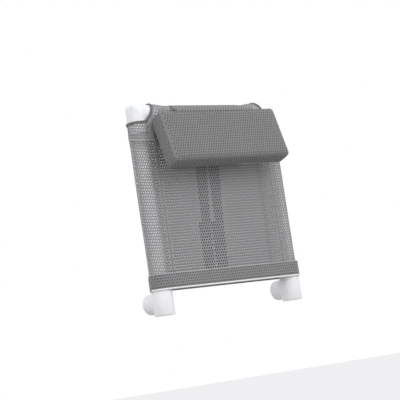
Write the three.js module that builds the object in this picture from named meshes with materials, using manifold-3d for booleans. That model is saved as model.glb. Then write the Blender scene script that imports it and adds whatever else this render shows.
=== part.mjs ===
// Headrest section of a reclining hygiene chair. An upside-down U of white PVC pipe stands in two
// tees, a grey mesh sling is pulled over it, and a mesh pillow hangs from a flap over its top rail.
// Millimetres. +Z runs up the posts, -Y is the side that the head rests on, and X runs across.
// The origin is midway between the lower ends of the two tees.

import * as THREE from "three";
import { mergeVertices } from "three/addons/utils/BufferGeometryUtils.js";
import Module from "manifold-3d";

const wasm = await Module();
wasm.setup();

// Driving dimensions.
const GAP = 0.3; // between pieces that touch
const ROUND = 36; // sides of a full circle
const FAR = 1000; // reach of a cutting box

// Frame of pipe and fittings.
const POST_X = 195; // post axis from the middle
const RAIL_Z = 483; // axis of the top rail
const PIPE_R = 21.1; // 1-1/4 inch pipe, outside
const PIPE_BORE_R = 17.5;
const FITTING_R = 25;
const SOCKET_R = PIPE_R + GAP;
const SOCKET_DEPTH = 28;
const TEE_TALL = 61.5;
const TEE_BRANCH_Y = 52; // end of the rear branch
const ELBOW_LEG = 48; // from the corner of the axes to a leg's end
const ELBOW_ROUND = 18; // outer corner of an elbow, seen from the front
const ELBOW_STOP = 22; // where a pipe stops, from the corner of the axes

// Mesh sling.
const SLEEVE_R = 25.4; // inside of the sleeve round a post
const MESH = 0.9; // thickness of the mesh
const SLEEVE_OUT_R = SLEEVE_R + MESH;
const SEAM_X = 168; // seams along the inner sides of the posts
const PANEL_TOP_Z = 458; // seam under the rail
const BACK_TOP_Z = 430; // open upper edge of the back panel
const EDGE_TALL = 9; // tape along that edge
const HEM_Z = 62.5;
const HEM_TALL = 33;
const HEM_THICK = 1.2;
const LAYER_R = SLEEVE_OUT_R + GAP; // inside of what is sewn on the sleeve
const CUT_X = 221; // middle of a corner cut-out
const CUT_Z = 510;
const CUT_R = 54;
const BINDING_WIDE = 10;
const BINDING_THICK = 1.5;
const CUFF_Z = 413; // lower edge of the cuff under a cut-out
const HEM_BACK_Z = 57.8; // the back hem hangs lower, as far as the foot of the front's piping
const PIPING_R = 2.2;
const PIPING_Z = 60;

// Pillow.
const PILLOW_X = -6;
const PILLOW_Y = -70;
const PILLOW_Z = 408.7;
const PILLOW_TILT = 16.5; // degrees that its foot stands out from the sling
const PILLOW_WIDE = 348;
const PILLOW_TALL = 134;
const PILLOW_DEEP = 46;
const PILLOW_ROUND = 8;
const COVER = 1.2;
const ZIPPER_Z = -40; // across the back of the cover, from its middle
const ZIPPER_TALL = 6;

// Flap over the rail and straps down the back.
const FLAP_X = 2.5;
const FLAP_WIDE = 203;
const FLAP_THICK = 1;
const FLAP_BACK_Z = 352; // lower edge of the flap, inside the sling
const FLAP_INSIDE_Y = 23; // where it hangs between the front and back panels
const FLAP_ENTRY_Z = 436; // where it passes the back panel's upper edge
const STRAP_WIDE = 34;
const STRAP_THICK = 1;
const STRAP_TOP_Z = 372;
const STRAP_END_Z = 92;
const HOOK_TALL = 40;
const HOOK_Z = 96; // lower edge of the hook patch
const LOOP_TALL = 120;
const LOOP_Z = 97;
const PATCH_THICK = 0.9;
const STRAPS = [
  { side: "left", topX: -10, endX: -27 },
  { side: "right", topX: 28, endX: 10.5 },
];

// Colours and finishes.
const finish = (color, roughness) =>
  new THREE.MeshStandardMaterial({ color, roughness, metalness: 0, side: THREE.FrontSide });
const pvcWhite = finish(0xf1f2f3, 0.35);
const meshGrey = finish(0x8e9092, 0.85);
const bandGrey = finish(0x77787a, 0.85);
const pillowGrey = finish(0x6f7072, 0.9);
const foamGrey = finish(0xc9c6bd, 1.0);
const pipingWhite = finish(0xeeeeee, 0.6);
const zipperGrey = finish(0x4c4d4f, 0.6);
const patchGrey = finish(0x5a5b5d, 1.0);

// Solids.
function solid(geometry) {
  geometry.deleteAttribute("normal");
  geometry.deleteAttribute("uv");
  const merged = mergeVertices(geometry, 1e-4);
  const mesh = new wasm.Mesh({
    numProp: 3,
    vertProperties: new Float32Array(merged.attributes.position.array),
    triVerts: new Uint32Array(merged.index.array),
  });
  return new wasm.Manifold(mesh);
}

function geometryOf(manifold) {
  const mesh = manifold.getMesh();
  const geometry = new THREE.BufferGeometry();
  geometry.setAttribute("position", new THREE.BufferAttribute(mesh.vertProperties, 3));
  geometry.setIndex(new THREE.BufferAttribute(mesh.triVerts, 1));
  return geometry;
}

function box(x0, x1, y0, y1, z0, z1) {
  const geometry = new THREE.BoxGeometry(x1 - x0, y1 - y0, z1 - z0);
  geometry.translate((x0 + x1) / 2, (y0 + y1) / 2, (z0 + z1) / 2);
  return solid(geometry);
}

// A rod between two values along one axis; u and v place it across the other two, in X, Y, Z order.
function rod(axis, radius, from, to, u, v, sides = ROUND) {
  const geometry = new THREE.CylinderGeometry(radius, radius, to - from, sides);
  const middle = (from + to) / 2;
  if (axis === "x") {
    geometry.rotateZ(-Math.PI / 2);
    geometry.translate(middle, u, v);
  } else if (axis === "y") {
    geometry.translate(u, middle, v);
  } else {
    geometry.rotateX(Math.PI / 2);
    geometry.translate(u, v, middle);
  }
  return solid(geometry);
}

function pipe(axis, from, to, u, v) {
  const bore = rod(axis, PIPE_BORE_R, from - 1, to + 1, u, v);
  return rod(axis, PIPE_R, from, to, u, v).subtract(bore);
}

// An outline in the Y-Z plane, drawn out along X.
function alongX(outline, x0, x1, holes = []) {
  const shape = new THREE.Shape(outline.map(([y, z]) => new THREE.Vector2(y, z)));
  for (const hole of holes) {
    shape.holes.push(new THREE.Path(hole.map(([y, z]) => new THREE.Vector2(y, z))));
  }
  const geometry = new THREE.ExtrudeGeometry(shape, { depth: x1 - x0, bevelEnabled: false });
  geometry.rotateY(Math.PI / 2);
  geometry.rotateX(Math.PI / 2);
  geometry.translate(x0, 0, 0);
  return solid(geometry);
}

// A sheet of even thickness whose section follows a line of points, measured to the line's left.
function ribbon(line, thick, x0, x1) {
  const far = line.map(([y, z], i) => {
    const [y0, z0] = line[Math.max(i - 1, 0)];
    const [y1, z1] = line[Math.min(i + 1, line.length - 1)];
    const long = Math.hypot(y1 - y0, z1 - z0);
    return [y - (thick * (z1 - z0)) / long, z + (thick * (y1 - y0)) / long];
  });
  return alongX([...line, ...far.reverse()], x0, x1);
}

// Points on a circle in the Y-Z plane round the rail, from one angle to another, in radians.
function roundRail(radius, from, to, steps) {
  return Array.from({ length: steps + 1 }, (_, i) => {
    const angle = from + ((to - from) * i) / steps;
    return [radius * Math.cos(angle), RAIL_Z + radius * Math.sin(angle)];
  });
}

// A rectangle with rounded corners, as points round its middle.
function roundedRectangle(wide, tall, radius, steps = 6) {
  const points = [];
  const corners = [
    [1, 1, 0],
    [-1, 1, 90],
    [-1, -1, 180],
    [1, -1, 270],
  ];
  for (const [sideX, sideY, start] of corners) {
    for (let i = 0; i <= steps; i++) {
      const angle = THREE.MathUtils.degToRad(start + (90 * i) / steps);
      const x = sideX * (wide / 2 - radius) + radius * Math.cos(angle);
      const y = sideY * (tall / 2 - radius) + radius * Math.sin(angle);
      points.push([x, y]);
    }
  }
  return points;
}

// A closed ring of square or round section that follows the sleeve's outline at one height.
function loopRound(section, z) {
  const path = [];
  const half = ROUND / 2;
  for (const side of [1, -1]) {
    for (let i = 0; i <= half; i++) {
      const angle = (side > 0 ? -Math.PI / 2 : Math.PI / 2) + (Math.PI * i) / half;
      path.push({ x: side * POST_X, nx: Math.cos(angle), ny: Math.sin(angle) });
    }
  }
  const positions = [];
  for (const { x, nx, ny } of path) {
    for (const [out, up] of section) {
      positions.push(x + nx * out, ny * out, z + up);
    }
  }
  const triangles = [];
  const n = section.length;
  for (let i = 0; i < path.length; i++) {
    const j = (i + 1) % path.length;
    for (let k = 0; k < n; k++) {
      const m = (k + 1) % n;
      triangles.push(i * n + k, j * n + k, j * n + m);
      triangles.push(i * n + k, j * n + m, i * n + m);
    }
  }
  const geometry = new THREE.BufferGeometry();
  geometry.setAttribute("position", new THREE.Float32BufferAttribute(positions, 3));
  geometry.setIndex(triangles);
  return solid(geometry);
}

// Named meshes.
const headrest = new THREE.Group();

function place(name, manifold, material, parent = headrest) {
  const mesh = new THREE.Mesh(geometryOf(manifold), material);
  mesh.name = name;
  parent.add(mesh);
  return mesh;
}

// Pipes stop inside the fittings.
function addPipes() {
  const foot = TEE_TALL - SOCKET_DEPTH + GAP;
  const top = RAIL_Z - ELBOW_STOP - GAP;
  place("left_post_tube", pipe("z", foot, top, -POST_X, 0), pvcWhite);
  place("right_post_tube", pipe("z", foot, top, POST_X, 0), pvcWhite);
  const reach = POST_X - ELBOW_STOP - GAP;
  place("top_rail_tube", pipe("x", -reach, reach, 0, RAIL_Z), pvcWhite);
}

// Tee: a run along the post, with a socket at each end, and a rear branch with a third socket.
function tee(x) {
  const branchZ = TEE_TALL / 2;
  const body = rod("z", FITTING_R, 0, TEE_TALL, x, 0).add(
    rod("y", FITTING_R, 0, TEE_BRANCH_Y, x, branchZ),
  );
  const bores = [
    rod("z", SOCKET_R, -1, SOCKET_DEPTH, x, 0),
    rod("z", SOCKET_R, TEE_TALL - SOCKET_DEPTH, TEE_TALL + 1, x, 0),
    rod("z", PIPE_BORE_R, -1, TEE_TALL + 1, x, 0),
    rod("y", SOCKET_R, TEE_BRANCH_Y - SOCKET_DEPTH, TEE_BRANCH_Y + 1, x, branchZ),
    rod("y", PIPE_BORE_R, 0, TEE_BRANCH_Y, x, branchZ),
  ];
  return bores.reduce((left, bore) => left.subtract(bore), body);
}

// Elbow: two legs that meet in a square corner, rounded as seen from the front.
function elbow(side) {
  const x = side * POST_X;
  const inner = side * (POST_X - ELBOW_LEG);
  const outer = side * (POST_X + FITTING_R);
  const [legFrom, legTo] = side > 0 ? [inner, x] : [x, inner];
  const [allFrom, allTo] = side > 0 ? [inner, outer] : [outer, inner];
  const post = rod("z", FITTING_R, RAIL_Z - ELBOW_LEG, RAIL_Z + FITTING_R, x, 0);
  const rail = rod("x", FITTING_R, allFrom, allTo, 0, RAIL_Z);
  const legs = rod("z", FITTING_R, RAIL_Z - ELBOW_LEG, RAIL_Z, x, 0).add(
    rod("x", FITTING_R, legFrom, legTo, 0, RAIL_Z),
  );
  const reach = 2 * (ELBOW_LEG + FITTING_R);
  const outline = roundedRectangle(reach, reach, ELBOW_ROUND, 8);
  const middleX = side * (POST_X + FITTING_R) - (side * reach) / 2;
  const middleZ = RAIL_Z + FITTING_R - reach / 2;
  const shape = new THREE.Shape(outline.map(([u, v]) => new THREE.Vector2(u, v)));
  const geometry = new THREE.ExtrudeGeometry(shape, { depth: 4 * FITTING_R, bevelEnabled: false });
  geometry.rotateX(Math.PI / 2);
  geometry.translate(middleX, 2 * FITTING_R, middleZ);
  const rounded = legs.add(post.intersect(rail)).intersect(solid(geometry));
  const passage = new THREE.SphereGeometry(PIPE_BORE_R, ROUND, ROUND / 3);
  passage.translate(x, 0, RAIL_Z);
  const socketZ = RAIL_Z - ELBOW_STOP;
  const socketX = side * (POST_X - ELBOW_STOP);
  const [socketFrom, socketTo] = side > 0 ? [inner - 1, socketX] : [socketX, inner + 1];
  return rounded
    .subtract(solid(passage))
    .subtract(rod("z", PIPE_BORE_R, RAIL_Z - ELBOW_LEG, RAIL_Z, x, 0))
    .subtract(rod("x", PIPE_BORE_R, legFrom, legTo, 0, RAIL_Z))
    .subtract(rod("z", SOCKET_R, RAIL_Z - ELBOW_LEG - 1, socketZ, x, 0))
    .subtract(rod("x", SOCKET_R, socketFrom, socketTo, 0, RAIL_Z));
}

function addFittings() {
  place("left_tee", tee(-POST_X), pvcWhite);
  place("right_tee", tee(POST_X), pvcWhite);
  place("left_elbow", elbow(-1), pvcWhite);
  place("right_elbow", elbow(1), pvcWhite);
}

// The space that a sleeve of the given radius round the U encloses, down to a height.
function sleeveSpace(radius, foot) {
  return [
    box(-POST_X, POST_X, -radius, radius, foot, RAIL_Z),
    rod("z", radius, foot, RAIL_Z, -POST_X, 0),
    rod("z", radius, foot, RAIL_Z, POST_X, 0),
    rod("x", radius, -POST_X, POST_X, 0, RAIL_Z),
  ].reduce((whole, piece) => whole.add(piece));
}

function sleeveLayer(radius, thick, foot) {
  return sleeveSpace(radius + thick, foot).subtract(sleeveSpace(radius, foot - 1));
}

// The region cut away at the top corner on one side, or grown from that cut.
const corner = (side, radius) => rod("y", radius, -FAR, FAR, side * CUT_X, CUT_Z, 2 * ROUND);

function addSling() {
  const open = sleeveLayer(SLEEVE_R, MESH, HEM_Z)
    .subtract(corner(-1, CUT_R))
    .subtract(corner(1, CUT_R));
  const x = SEAM_X - GAP / 2;
  const top = PANEL_TOP_Z - GAP / 2;
  const outside = SEAM_X + GAP / 2;
  const pieces = {
    sling_front_panel: box(-x, x, -FAR, 0, 0, top),
    sling_back_panel: box(-x, x, 0, FAR, 0, BACK_TOP_Z),
    left_post_sleeve: box(-FAR, -outside, -FAR, FAR, 0, FAR),
    right_post_sleeve: box(outside, FAR, -FAR, FAR, 0, FAR),
  };
  for (const [name, region] of Object.entries(pieces)) {
    place(name, open.intersect(region), meshGrey);
  }
  const edgeZ = BACK_TOP_Z - EDGE_TALL;
  const tape = box(-x, x, LAYER_R, LAYER_R + MESH, edgeZ, BACK_TOP_Z);
  place("back_panel_edge_tape", tape, bandGrey);
}

// The tunnel round the rail: up the front, over the rail, down behind it, and back under it to the
// seam at the top of the front panel.
function addRailSleeve() {
  const bottom = PANEL_TOP_Z + GAP / 2;
  const underside = -Math.PI / 2;
  const line = [
    [-SLEEVE_R - GAP / 2 + MESH, bottom + MESH],
    ...roundRail(SLEEVE_R, underside, Math.PI, 27),
    [-SLEEVE_R, bottom],
  ];
  const x = SEAM_X - GAP / 2;
  const sleeve = ribbon(line.reverse(), MESH, -x, x);
  const cut = sleeve.subtract(corner(-1, CUT_R)).subtract(corner(1, CUT_R));
  place("sling_rail_sleeve", cut, meshGrey);
}

// Binding round each corner cut-out, and the cuff of doubled mesh below it.
function addCorners() {
  for (const [name, side] of [["left", -1], ["right", 1]]) {
    const grown = corner(side, CUT_R + BINDING_WIDE);
    const binding = sleeveLayer(LAYER_R, BINDING_THICK, HEM_Z)
      .intersect(grown)
      .subtract(corner(side, CUT_R));
    place(`${name}_corner_binding`, binding, bandGrey);
    const [x0, x1] = side > 0 ? [SEAM_X, FAR] : [-FAR, -SEAM_X];
    const cuff = sleeveLayer(LAYER_R, MESH, HEM_Z)
      .intersect(box(x0, x1, -FAR, FAR, CUFF_Z, PANEL_TOP_Z))
      .subtract(corner(side, CUT_R + BINDING_WIDE + GAP));
    place(`${name}_sleeve_cuff`, cuff, meshGrey);
  }
}

// Hem band in two halves with seams at the sides, and the round piping under the front one.
function addHem() {
  const section = [
    [LAYER_R, 0],
    [LAYER_R + HEM_THICK, 0],
    [LAYER_R + HEM_THICK, HEM_TALL],
    [LAYER_R, HEM_TALL],
  ];
  const front = box(-FAR, FAR, -FAR, -GAP / 2, 0, FAR);
  const back = box(-FAR, FAR, GAP / 2, FAR, 0, FAR);
  place("hem_front_band", loopRound(section, HEM_Z).intersect(front), bandGrey);
  place("hem_back_band", loopRound(section, HEM_BACK_Z).intersect(back), bandGrey);
  const piping = [];
  const sides = 8;
  for (let i = 0; i < sides; i++) {
    const angle = (2 * Math.PI * i) / sides;
    const out = FITTING_R + GAP + PIPING_R + PIPING_R * Math.cos(angle);
    piping.push([out, PIPING_R * Math.sin(angle)]);
  }
  place("hem_piping", loopRound(piping, PIPING_Z).intersect(front), pipingWhite);
}

// Pillow: a foam block in a wrapped cover with two end panels, zipped across the back.
function addPillow() {
  const pillow = new THREE.Group();
  pillow.position.set(PILLOW_X, PILLOW_Y, PILLOW_Z);
  pillow.rotation.x = THREE.MathUtils.degToRad(-PILLOW_TILT);
  headrest.add(pillow);
  const outside = roundedRectangle(PILLOW_DEEP, PILLOW_TALL, PILLOW_ROUND);
  const lining = roundedRectangle(PILLOW_DEEP - 2 * COVER, PILLOW_TALL - 2 * COVER, PILLOW_ROUND - COVER);
  const shrink = 2 * (COVER + GAP);
  const core = roundedRectangle(PILLOW_DEEP - shrink, PILLOW_TALL - shrink, PILLOW_ROUND - COVER - GAP);
  const half = PILLOW_WIDE / 2;
  const wrapHalf = half - COVER - GAP;
  const slit = box(-FAR, FAR, 0, FAR, ZIPPER_Z - ZIPPER_TALL / 2, ZIPPER_Z + ZIPPER_TALL / 2);
  const wrap = alongX(outside, -wrapHalf, wrapHalf, [lining]).subtract(slit);
  place("pillow_cover_wrap", wrap, pillowGrey, pillow);
  place("pillow_left_end", alongX(outside, -half, -half + COVER), pillowGrey, pillow);
  place("pillow_right_end", alongX(outside, half - COVER, half), pillowGrey, pillow);
  place("pillow_foam_core", alongX(core, -wrapHalf, wrapHalf), foamGrey, pillow);
  const back = PILLOW_DEEP / 2;
  const tape = ZIPPER_TALL / 2 - GAP;
  const zipper = box(-wrapHalf, wrapHalf, back - COVER, back, ZIPPER_Z - tape, ZIPPER_Z + tape);
  place("pillow_zipper", zipper, zipperGrey, pillow);
  const pull = box(wrapHalf - 34, wrapHalf - 12, back + GAP, back + GAP + 1.5, ZIPPER_Z - 3, ZIPPER_Z + 3);
  place("pillow_zipper_pull", pull, zipperGrey, pillow);
}

// Flap: up from between the sling's panels, round the rail, and on to the pillow's upper front edge.
function addFlap() {
  const tilt = THREE.MathUtils.degToRad(PILLOW_TILT);
  const localY = -PILLOW_DEEP / 2 + PILLOW_ROUND;
  const localZ = PILLOW_TALL / 2 - PILLOW_ROUND;
  const edgeY = PILLOW_Y + localY * Math.cos(tilt) + localZ * Math.sin(tilt);
  const edgeZ = PILLOW_Z - localY * Math.sin(tilt) + localZ * Math.cos(tilt);
  const railR = SLEEVE_OUT_R + GAP;
  const edgeR = PILLOW_ROUND + 1.5;
  const apart = Math.hypot(edgeY, edgeZ - RAIL_Z);
  const towards = Math.atan2(edgeZ - RAIL_Z, edgeY) + 2 * Math.PI;
  const leaves = towards - Math.acos((railR - edgeR) / apart);
  const below = FLAP_ENTRY_Z - RAIL_Z;
  const entry = Math.atan2(below, FLAP_INSIDE_Y);
  const meets = entry + Math.acos(railR / Math.hypot(below, FLAP_INSIDE_Y));
  const line = [
    [FLAP_INSIDE_Y, FLAP_BACK_Z],
    [FLAP_INSIDE_Y, FLAP_ENTRY_Z],
    ...roundRail(railR, meets, leaves, 16),
    [edgeY + edgeR * Math.cos(leaves), edgeZ + edgeR * Math.sin(leaves)],
  ];
  const half = FLAP_WIDE / 2;
  place("pillow_flap", ribbon(line.reverse(), FLAP_THICK, FLAP_X - half, FLAP_X + half), pillowGrey);
}

// Straps between the panels, with hook patches that grip loop strips inside the back panel.
function addStraps() {
  const loopY = SLEEVE_R - GAP - PATCH_THICK;
  const hookY = loopY - PATCH_THICK - GAP;
  const strapY = hookY - STRAP_THICK - GAP;
  for (const { side, topX, endX } of STRAPS) {
    const halfWide = STRAP_WIDE / 2;
    const slope = (topX - endX) / (STRAP_TOP_Z - STRAP_END_Z);
    const outline = [
      [endX - halfWide, STRAP_END_Z],
      [endX + halfWide, STRAP_END_Z],
      [topX + halfWide, STRAP_TOP_Z],
      [topX - halfWide, STRAP_TOP_Z],
    ];
    const shape = new THREE.Shape(outline.map(([x, z]) => new THREE.Vector2(x, z)));
    const geometry = new THREE.ExtrudeGeometry(shape, { depth: STRAP_THICK, bevelEnabled: false });
    geometry.rotateX(Math.PI / 2);
    geometry.translate(0, strapY + STRAP_THICK, 0);
    place(`${side}_back_strap`, solid(geometry), pillowGrey);
    const hookX = endX + slope * (HOOK_Z + HOOK_TALL / 2 - STRAP_END_Z);
    const half = halfWide - 2;
    const hook = box(hookX - half, hookX + half, hookY, hookY + PATCH_THICK, HOOK_Z, HOOK_Z + HOOK_TALL);
    place(`${side}_hook_patch`, hook, patchGrey);
    const loop = box(endX - half, endX + half, loopY, loopY + PATCH_THICK, LOOP_Z, LOOP_Z + LOOP_TALL);
    place(`${side}_loop_strip`, loop, patchGrey);
  }
}

addPipes();
addFittings();
addSling();
addRailSleeve();
addCorners();
addHem();
addPillow();
addFlap();
addStraps();

export default headrest;
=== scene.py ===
import math

import bmesh
import bpy
import numpy as np
from mathutils import Matrix, Vector
from mathutils.bvhtree import BVHTree


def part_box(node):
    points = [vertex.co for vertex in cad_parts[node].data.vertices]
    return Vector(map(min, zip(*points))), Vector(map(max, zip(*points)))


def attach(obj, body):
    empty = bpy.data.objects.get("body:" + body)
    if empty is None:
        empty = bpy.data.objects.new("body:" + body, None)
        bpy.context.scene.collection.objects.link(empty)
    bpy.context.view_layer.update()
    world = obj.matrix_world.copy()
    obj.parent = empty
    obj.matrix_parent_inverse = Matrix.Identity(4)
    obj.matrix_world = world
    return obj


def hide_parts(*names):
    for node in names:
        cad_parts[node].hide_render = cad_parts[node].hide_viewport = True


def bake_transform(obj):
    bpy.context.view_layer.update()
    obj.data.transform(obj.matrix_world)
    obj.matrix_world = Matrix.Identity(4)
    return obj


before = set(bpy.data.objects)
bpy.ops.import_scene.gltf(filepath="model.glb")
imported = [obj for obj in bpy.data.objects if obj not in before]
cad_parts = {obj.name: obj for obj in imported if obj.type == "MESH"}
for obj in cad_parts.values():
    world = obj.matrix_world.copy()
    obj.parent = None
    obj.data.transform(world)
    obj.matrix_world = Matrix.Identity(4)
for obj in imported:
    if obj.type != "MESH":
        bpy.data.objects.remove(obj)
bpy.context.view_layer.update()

# Dimensions in metres. Places come from the CAD nodes.
MM = 0.001
GAP = 0.3 * MM
tube_low, tube_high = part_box("right_post_tube")
POST_X = (tube_low.x + tube_high.x) / 2
rail_low, rail_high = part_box("top_rail_tube")
RAIL_Z = (rail_low.z + rail_high.z) / 2
panel_low, panel_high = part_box("sling_front_panel")
SEAM_X = panel_high.x + GAP / 2
SLEEVE_R = -panel_high.y
MESH = panel_high.y - panel_low.y
PANEL_TOP = panel_high.z + GAP / 2
HEM_Z = panel_low.z
BACK_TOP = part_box("sling_back_panel")[1].z
HEM_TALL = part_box("hem_front_band")[1].z - HEM_Z
CUFF_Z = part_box("left_sleeve_cuff")[0].z
LAYER_R = SLEEVE_R + MESH + GAP
FLAP_LOW, FLAP_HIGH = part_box("pillow_flap")
BINDING_WIDE = 0.0058

# The open mesh: one hole in each cell, with every other row moved along by half a cell.
CELL_WIDE = 6.9 * MM
CELL_TALL = 6.8 * MM
HOLE_WIDE = 4.1 * MM
HOLE_TALL = 5.1 * MM
YARN = 0.75 * MM

# The taut mesh lies on the fittings at its ends and draws in to the slimmer pipe between them.
OVER_FITTING = SLEEVE_R + MESH / 2
ON_POST = 22.0 * MM
ON_RAIL = 21.9 * MM

# A corner cut-out: a superellipse in X and in the distance along the fabric, counted from the
# level of the rail's axis. Its centre is over the rail, and it is level all round the post.
CUT_X, CUT_TOP = 0.196, math.pi / 2 * OVER_FITTING
CUT_HALF_X, CUT_HALF_S, CUT_POWER = 0.035, 0.060, 1.65

# Pillow, in its own axes: X across, Y through it towards the sling, Z up its face.
PILLOW_AT = Vector((-0.0045, -0.0712, 0.4085))
PILLOW_TILT = math.radians(-16.5)
PILLOW_ROLL = math.radians(-0.8)
PILLOW_WIDE, PILLOW_TALL, PILLOW_DEEP, PILLOW_ROUND = 0.353, 0.137, 0.0495, 0.008
PILLOW_TURN = Matrix.Rotation(PILLOW_ROLL, 4, "Y") @ Matrix.Rotation(PILLOW_TILT, 4, "X")
PILLOW_MATRIX = Matrix.Translation(PILLOW_AT) @ PILLOW_TURN

PILLOW_SHRINK = 2.0 * MM
SWELL_CAP = 1.8 * MM
SWELL_FRAMES = 20
END_ROUND = 6 * MM
WRAP_HALF = PILLOW_WIDE / 2 - END_ROUND + math.pi / 2 * END_ROUND
AROUND = 2 * (PILLOW_TALL + PILLOW_DEEP) - 8 * PILLOW_ROUND + 2 * math.pi * PILLOW_ROUND
ZIP_Z, ZIP_HALF = -0.040, 0.168

# The flap enters the sling behind the rail. Its left edge runs out to the side on its way down
# to the pillow.
FLAP_INNER_Y, FLAP_ENTRY_Z = 0.0235, 0.436
FLAP_SPREAD = 32 * MM

STRAP_WIDE = 0.034
STRAPS = {"left": (-0.010, -0.0285), "right": (0.028, 0.0125)}


# Materials.
YARN_RIBS = 2600.0 / 6.0


def new_material(name, roughness):
    material = bpy.data.materials.new(name)
    material.use_nodes = True
    nodes = material.node_tree.nodes
    shader = nodes["Principled BSDF"]
    shader.inputs["Roughness"].default_value = roughness
    return material, material.node_tree, shader


def add(tree, kind, **values):
    node = tree.nodes.new(kind)
    for key, value in values.items():
        if key in node.inputs:
            node.inputs[key].default_value = value
        else:
            setattr(node, key, value)
    return node


def coordinates(tree):
    return add(tree, "ShaderNodeTexCoord").outputs["Object"]


def noise(tree, vector, scale, detail=3.0, roughness=0.5):
    node = add(tree, "ShaderNodeTexNoise", Scale=scale, Detail=detail, Roughness=roughness)
    tree.links.new(vector, node.inputs["Vector"])
    return node.outputs["Fac"]


def ramp(tree, fac, stops):
    node = add(tree, "ShaderNodeValToRGB")
    elements = node.color_ramp.elements
    while len(elements) < len(stops):
        elements.new(0.5)
    for element, (at, color) in zip(elements, stops):
        element.position = at
        element.color = (*color, 1)
    tree.links.new(fac, node.inputs["Fac"])
    return node.outputs["Color"]


def bump(tree, shader, height, strength, distance, under=None):
    node = add(tree, "ShaderNodeBump", Strength=strength, Distance=distance)
    tree.links.new(height, node.inputs["Height"])
    if under is not None:
        tree.links.new(under, node.inputs["Normal"])
    tree.links.new(node.outputs["Normal"], shader.inputs["Normal"])
    return node.outputs["Normal"]


def mixed(tree, a, b, factor, blend="MIX"):
    node = add(tree, "ShaderNodeMix", data_type="RGBA", blend_type=blend)
    node.inputs["Factor"].default_value = factor
    tree.links.new(a, node.inputs["A"])
    tree.links.new(b, node.inputs["B"])
    return node.outputs["Result"]


def grey(value):
    return (value, value, value * 1.01)


def pvc():
    material, tree, shader = new_material("white_pvc", 0.32)
    vector = coordinates(tree)
    cloud = noise(tree, vector, 26.0, 2.0)
    color = ramp(tree, cloud, [(0.3, (0.80, 0.81, 0.825)), (0.7, (0.86, 0.865, 0.875))])
    tree.links.new(color, shader.inputs["Base Color"])
    rough = add(tree, "ShaderNodeMapRange")
    rough.inputs["To Min"].default_value = 0.26
    rough.inputs["To Max"].default_value = 0.42
    tree.links.new(noise(tree, vector, 140.0, 4.0, 0.6), rough.inputs["Value"])
    tree.links.new(rough.outputs["Result"], shader.inputs["Roughness"])
    shader.inputs["IOR"].default_value = 1.5
    shader.inputs["Subsurface Weight"].default_value = 0.05
    shader.inputs["Subsurface Scale"].default_value = 0.004
    soft = bump(tree, shader, noise(tree, vector, 60.0, 2.0), 0.10, 0.0006)
    bump(tree, shader, noise(tree, vector, 900.0, 3.0), 0.08, 0.0001, soft)
    return material


def coated_yarn(name, dark, light, roughness=0.55):
    """Vinyl-coated knitted yarn: fine ribs of the filament under the coat, and an uneven tone under
    an even sheen.
    """
    material, tree, shader = new_material(name, roughness)
    vector = coordinates(tree)
    wave = add(tree, "ShaderNodeTexWave", Scale=YARN_RIBS, Distortion=3.0, Detail=2.0)
    wave.bands_direction = "DIAGONAL"
    wave.inputs["Detail Scale"].default_value = 2.0
    tree.links.new(vector, wave.inputs["Vector"])
    fleck = ramp(tree, noise(tree, vector, 900.0, 3.0, 0.6), [(0.35, dark), (0.65, light)])
    cloud = ramp(tree, noise(tree, vector, 18.0, 2.0), [(0.3, grey(0.93)), (0.7, grey(1.0))])
    tree.links.new(mixed(tree, fleck, cloud, 1.0, "MULTIPLY"), shader.inputs["Base Color"])
    shader.inputs["Sheen Weight"].default_value = 0.12
    shader.inputs["Sheen Roughness"].default_value = 0.5
    coarse = bump(tree, shader, wave.outputs["Fac"], 0.35, 0.00012)
    bump(tree, shader, noise(tree, vector, 1400.0, 2.0), 0.25, 0.00008, coarse)
    return material


def webbing(name, dark, light, pitch):
    """Tight woven tape: fine ribs one way, crossed by a finer weft. The pitch is in millimetres."""
    material, tree, shader = new_material(name, 0.9)
    vector = coordinates(tree)
    warp = add(tree, "ShaderNodeTexWave", Scale=1000 / pitch / 6.28, Distortion=0.6, Detail=1.0)
    warp.bands_direction = "X"
    tree.links.new(vector, warp.inputs["Vector"])
    weft = add(tree, "ShaderNodeTexWave", Scale=1000 / pitch / 5.0, Distortion=0.6, Detail=1.0)
    weft.bands_direction = "Z"
    tree.links.new(vector, weft.inputs["Vector"])
    both = mixed(tree, warp.outputs["Color"], weft.outputs["Color"], 0.5)
    color = ramp(tree, both, [(0.25, dark), (0.75, light)])
    cloud = ramp(tree, noise(tree, vector, 40.0, 3.0), [(0.3, grey(0.86)), (0.7, grey(1.0))])
    tree.links.new(mixed(tree, color, cloud, 1.0, "MULTIPLY"), shader.inputs["Base Color"])
    shader.inputs["Sheen Weight"].default_value = 0.15
    bump(tree, shader, both, 0.6, 0.00025)
    return material


def cellular(name, scale, near, far, far_at, sheen, strength):
    """A dense irregular pile, or the open cells of foam."""
    material, tree, shader = new_material(name, 1.0)
    cells = add(tree, "ShaderNodeTexVoronoi", Scale=scale)
    tree.links.new(coordinates(tree), cells.inputs["Vector"])
    color = ramp(tree, cells.outputs["Distance"], [(0.1, grey(near)), (far_at, grey(far))])
    tree.links.new(color, shader.inputs["Base Color"])
    shader.inputs["Sheen Weight"].default_value = sheen
    bump(tree, shader, cells.outputs["Distance"], strength, 0.0005)
    return material


def speckled(name, roughness, scale, dark, light, grain, strength, distance, metallic=0.0):
    """An even grey with fine speckles and a fine grain."""
    material, tree, shader = new_material(name, roughness)
    vector = coordinates(tree)
    color = ramp(tree, noise(tree, vector, scale), [(0.3, grey(dark)), (0.7, grey(light))])
    tree.links.new(color, shader.inputs["Base Color"])
    shader.inputs["Metallic"].default_value = metallic
    bump(tree, shader, noise(tree, vector, grain, 2.0), strength, distance)
    return material


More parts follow.
